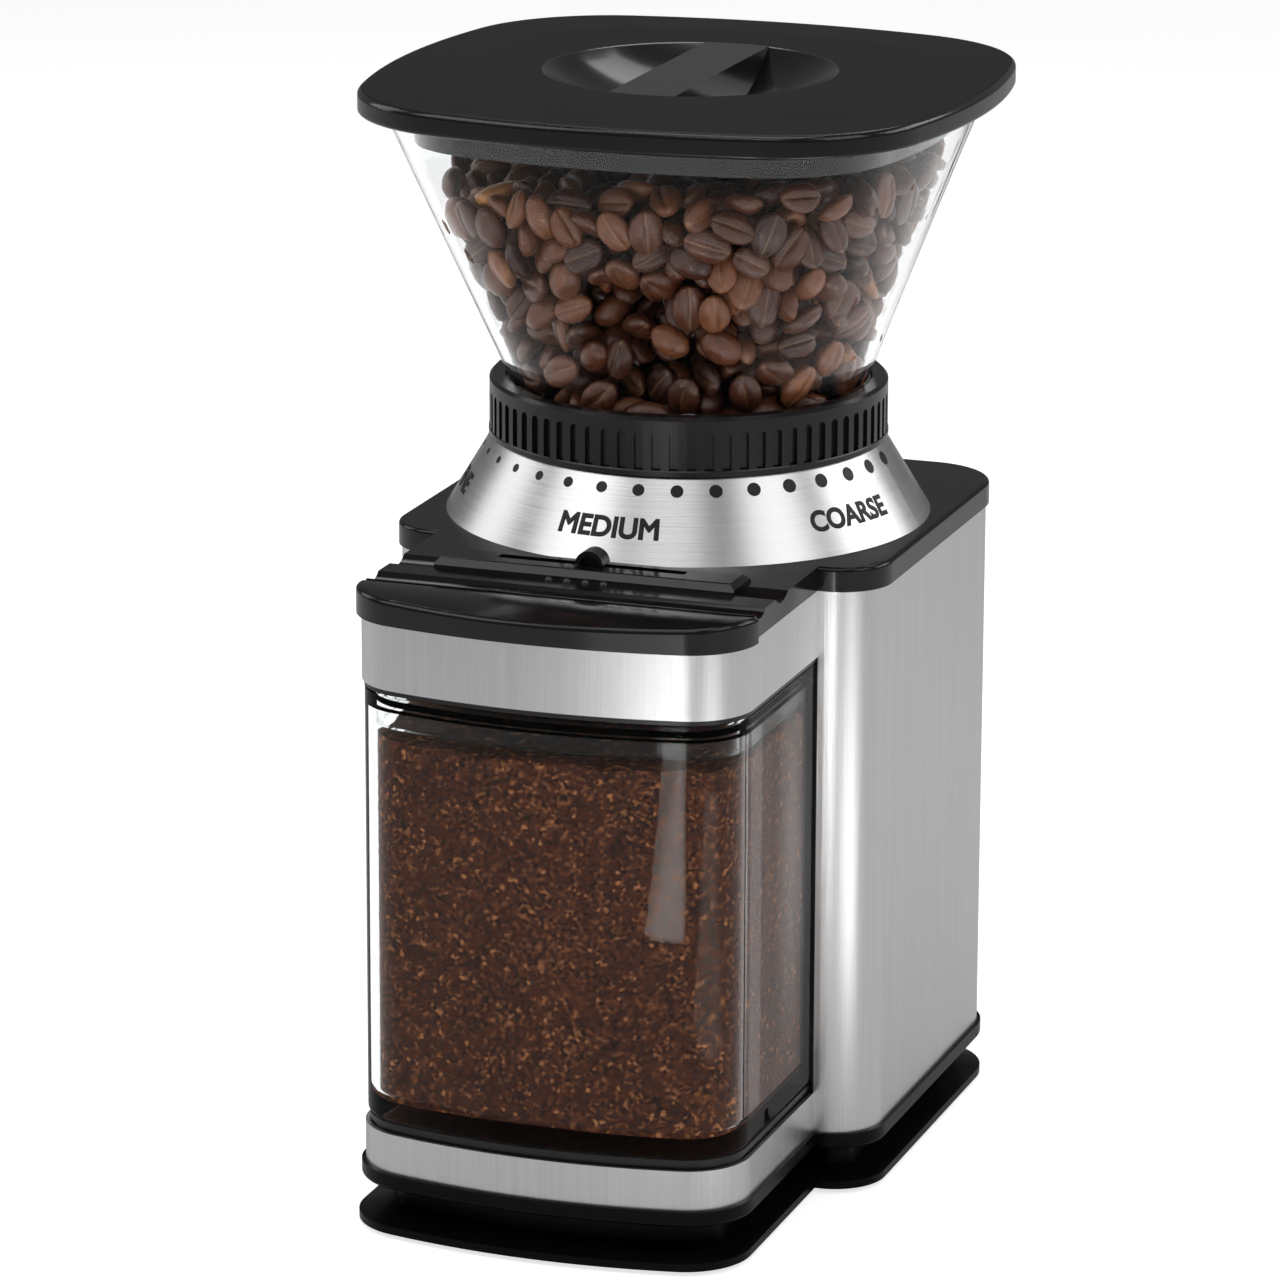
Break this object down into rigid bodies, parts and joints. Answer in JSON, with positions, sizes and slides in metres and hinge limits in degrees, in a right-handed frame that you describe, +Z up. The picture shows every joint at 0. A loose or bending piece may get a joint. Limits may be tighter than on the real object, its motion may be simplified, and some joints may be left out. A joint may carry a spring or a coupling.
{
  "type": "burr coffee grinder",
  "caption": "Electric burr coffee grinder with a clear lidded bean hopper, a ribbed grind selector ring over a dial cone, and a clear jar for the grounds.",
  "frame": {"origin": "on the bench under the middle of the overall box", "axes": "+Z up, -Y towards the user at the front with the start bar and the grounds jar, +X to the right seen from the front"},
  "size_m": [0.152, 0.193, 0.273],
  "materials": {
    "black_plastic": "satin moulded ABS",
    "gloss_black": "polished",
    "soft_black": "fine satin grain",
    "brushed_steel": "vertical brushing",
    "clear_plastic": "clear polished acrylic",
    "rubber": "matt",
    "burr_steel": "machined",
    "shaft_steel": "ground",
    "gear_nylon": "moulded nylon",
    "frame_plastic": "glass-filled nylon",
    "bronze": "sintered",
    "zinc": "zinc plated",
    "board": "circuit board",
    "grey_parts": "moulded component bodies",
    "magnet": "ferrite",
    "copper": "wound copper and laminations"
  },
  "bodies": {
    "housing": {"rubber_feet": "rubber", "base_plate": "gloss_black", "cord_spool": "gloss_black", "base_lip": "gloss_black", "steel_wrap": "brushed_steel", "chassis": "black_plastic", "cord_gland": "rubber", "lower_band": "brushed_steel", "upper_band": "brushed_steel", "jar_shelf": "black_plastic", "head_tray": "black_plastic", "top_cover": "gloss_black", "slider_bezel": "gloss_black", "timer_board": "board", "start_switch": "grey_parts", "slide_pot": "grey_parts", "dial_cone": "brushed_steel", "adjust_collar": "frame_plastic", "grind_chamber": "frame_plastic", "grounds_chute": "frame_plastic", "idler_axle": "shaft_steel", "gear_plate": "frame_plastic", "chamber_deck": "frame_plastic", "shaft_bushes": "bronze", "motor_can": "zinc", "motor_end_cap": "frame_plastic", "motor_bearings": "bronze", "motor_magnets": "magnet", "carbon_brushes": "grey_parts", "power_board": "board", "board_parts": "grey_parts", "jar_switch": "grey_parts", "hopper_switch": "grey_parts", "detent_leaf": "shaft_steel", "housing_screws": "zinc", "start_spring": "shaft_steel"},
    "start_bar": {"start_bar": "gloss_black"},
    "cup_slider": {"cup_slider": "black_plastic"},
    "jar": {"grounds_jar": "clear_plastic", "jar_lid": "clear_plastic"},
    "jar_interlock": {"jar_plunger": "grey_parts"},
    "hopper_interlock": {"hopper_plunger": "grey_parts"},
    "selector": {"grind_ring": "soft_black"},
    "hopper": {"hopper": "clear_plastic"},
    "hopper_lid": {"hopper_lid": "soft_black"},
    "upper_burr_set": {"upper_burr": "burr_steel", "burr_holder": "frame_plastic"},
    "motor_rotor": {"rotor_shaft": "shaft_steel", "rotor_core": "copper", "motor_pinion": "shaft_steel", "cooling_fan": "gear_nylon"},
    "idler": {"idler_gear": "gear_nylon"},
    "burr_drive": {"burr_shaft": "shaft_steel", "lower_burr": "burr_steel", "burr_carrier": "frame_plastic", "burr_nut": "zinc", "burr_gear": "gear_nylon"}
  },
  "joints": [
    {"name": "start_press", "type": "slide", "parent": "housing", "child": "start_bar", "axis": [0, 0, -1], "range_m": [0, 0.001], "stiffness_N_per_m": 1200, "springref_m": -0.0012, "deforming": ["start_spring"]},
    {"name": "cup_slide", "type": "slide", "parent": "housing", "child": "cup_slider", "axis": [1, 0, 0], "range_m": [-0.02, 0.02]},
    {"name": "jar_slide", "type": "slide", "parent": "housing", "child": "jar", "axis": [0, -1, 0], "range_m": [0, 0.08]},
    {"name": "jar_interlock_press", "type": "slide", "parent": "housing", "child": "jar_interlock", "axis": [0, 1, 0], "range_m": [0, 0.002], "stiffness_N_per_m": 300, "springref_m": -0.001},
    {"name": "hopper_interlock_press", "type": "slide", "parent": "housing", "child": "hopper_interlock", "axis": [0, 0, -1], "range_m": [0, 0.0015], "stiffness_N_per_m": 300, "springref_m": -0.001},
    {"name": "grind_turn", "type": "hinge", "parent": "housing", "child": "selector", "pos_m": [0, 0.0205, 0.19], "axis": [0, 0, 1], "range_deg": [-90.95, 90.95]},
    {"name": "hopper_lift", "type": "slide", "parent": "selector", "child": "hopper", "axis": [0, 0, 1], "range_m": [0, 0.08]},
    {"name": "lid_lift", "type": "slide", "parent": "hopper", "child": "hopper_lid", "axis": [0, 0, 1], "range_m": [0, 0.06]},
    {"name": "burr_adjust", "type": "slide", "parent": "selector", "child": "upper_burr_set", "axis": [0, 0, 1], "range_m": [-0.00052, 0.00052]},
    {"name": "motor_spin", "type": "hinge", "parent": "housing", "child": "motor_rotor", "pos_m": [0, 0.0545, 0.07], "axis": [0, 0, 1], "continuous": true},
    {"name": "idler_spin", "type": "hinge", "parent": "housing", "child": "idler", "pos_m": [0.02225, 0.0375, 0.11], "axis": [0, 0, 1], "continuous": true},
    {"name": "burr_spin", "type": "hinge", "parent": "housing", "child": "burr_drive", "pos_m": [0, 0.0205, 0.12], "axis": [0, 0, 1], "continuous": true}
  ],
  "couplings": [
    {"joint": "burr_adjust", "follows": "grind_turn", "m_per_rad": 0.00031831},
    {"joint": "idler_spin", "follows": "motor_spin", "ratio": -0.33333},
    {"joint": "burr_spin", "follows": "motor_spin", "ratio": 0.11111}
  ]
}
